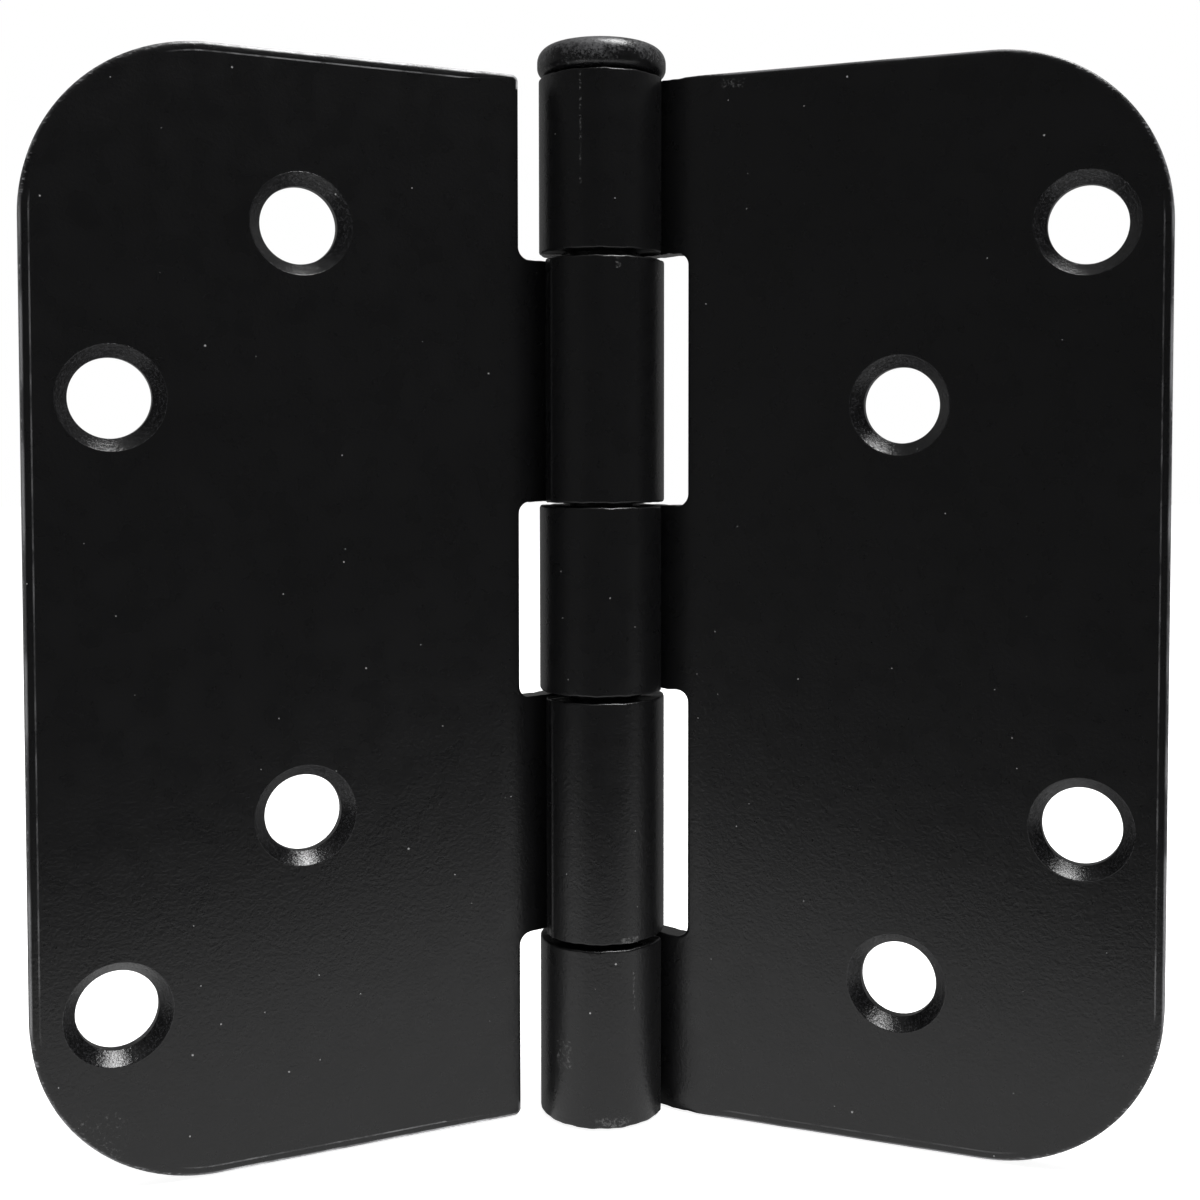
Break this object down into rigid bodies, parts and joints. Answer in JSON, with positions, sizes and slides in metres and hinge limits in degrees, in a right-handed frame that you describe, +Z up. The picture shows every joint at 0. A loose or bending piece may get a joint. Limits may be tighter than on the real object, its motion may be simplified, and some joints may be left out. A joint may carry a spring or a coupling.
{
  "type": "door hinge",
  "caption": "Butt door hinge: round-cornered screw-on leaves with rolled knuckles that swing on a loose button-head pin.",
  "frame": {"origin": "on the pin's axis at the pin's flat lower end, level with the lower edges of both leaves", "axes": "+Z up along the pin towards its head; +X towards the jamb leaf; -Y towards the countersunk faces. At rest the leaves stand 135 degrees apart, each leaning 22.5 degrees from the XZ plane towards -Y"},
  "size_m": [0.1006, 0.0259, 0.1053],
  "materials": {
    "black_coated_leaf": "satin black coating on rolled steel sheet, worn a little along the blanked edges",
    "black_coated_pin": "satin black coating on steel, rubbed and mottled round the edge of the head"
  },
  "bodies": {
    "jamb_leaf": {"jamb_leaf": "black_coated_leaf"},
    "door_leaf": {"door_leaf": "black_coated_leaf"},
    "hinge_pin": {"hinge_pin": "black_coated_pin"}
  },
  "joints": [
    {"name": "leaf_swing", "type": "hinge", "parent": "jamb_leaf", "child": "door_leaf", "pos_m": [0, 0, 0.0508], "axis": [0, 0, 1], "range_deg": [-135, 135]},
    {"name": "pin_lift", "type": "slide", "parent": "jamb_leaf", "child": "hinge_pin", "axis": [0, 0, 1], "range_m": [0, 0.105]}
  ]
}
